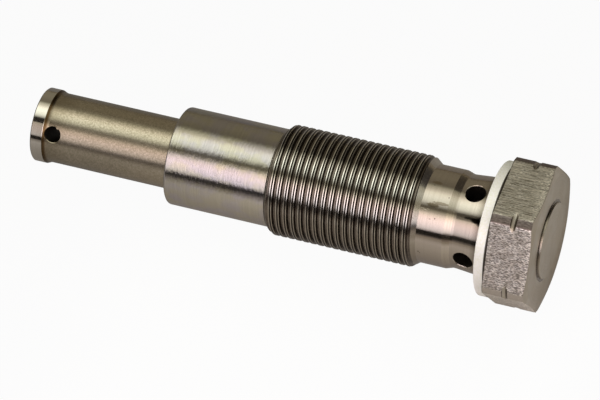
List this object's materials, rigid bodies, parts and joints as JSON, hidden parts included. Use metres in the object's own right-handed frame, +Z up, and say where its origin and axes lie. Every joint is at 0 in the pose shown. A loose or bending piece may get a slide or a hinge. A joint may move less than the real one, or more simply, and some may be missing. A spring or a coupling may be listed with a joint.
{
  "type": "timing chain tensioner",
  "caption": "Screw-in hydraulic chain tensioner: hexagon head, seal ring, drilled neck, fine external thread, plain nose and a spring-loaded flanged plunger.",
  "frame": {"origin": "on the tensioner's axis, in the underside of the hexagon head, where the seal ring lies", "axes": "+X along the axis towards the head, -X towards the plunger's tip, +Z up with a flat of the hexagon down"},
  "size_m": [0.104, 0.0298, 0.0266],
  "materials": {
    "turned_steel": "turned and polished bright steel",
    "plunger_steel": "hardened steel, satin, brown-grey",
    "seal_aluminium": "matt pale aluminium",
    "inner_steel": "plain turned steel",
    "spring_steel": "drawn spring wire, oiled",
    "ball_steel": "polished bearing ball"
  },
  "bodies": {
    "housing": {"housing": "turned_steel", "seal_ring": "seal_aluminium", "stop_ring": "spring_steel", "valve_seat": "inner_steel", "valve_cage": "inner_steel", "valve_spring": "spring_steel", "plunger_spring": "spring_steel"},
    "filler": {"filler_pin": "inner_steel"},
    "plunger": {"plunger": "plunger_steel", "throttle_pin": "inner_steel"},
    "ball": {"valve_ball": "ball_steel"}
  },
  "joints": [
    {"name": "plunger_slide", "type": "slide", "parent": "housing", "child": "filler", "axis": [1, 0, 0], "range_m": [0, 0.0251], "stiffness_N_per_m": 2790, "springref_m": -0.01, "deforming": ["plunger_spring"]},
    {"name": "plunger_turn", "type": "hinge", "parent": "filler", "child": "plunger", "pos_m": [-0.08, 0, 0], "axis": [1, 0, 0], "continuous": true},
    {"name": "ball_lift", "type": "slide", "parent": "housing", "child": "ball", "axis": [-1, 0, 0], "range_m": [0, 0.0008], "stiffness_N_per_m": 60, "springref_m": -0.001, "deforming": ["valve_spring"]}
  ]
}
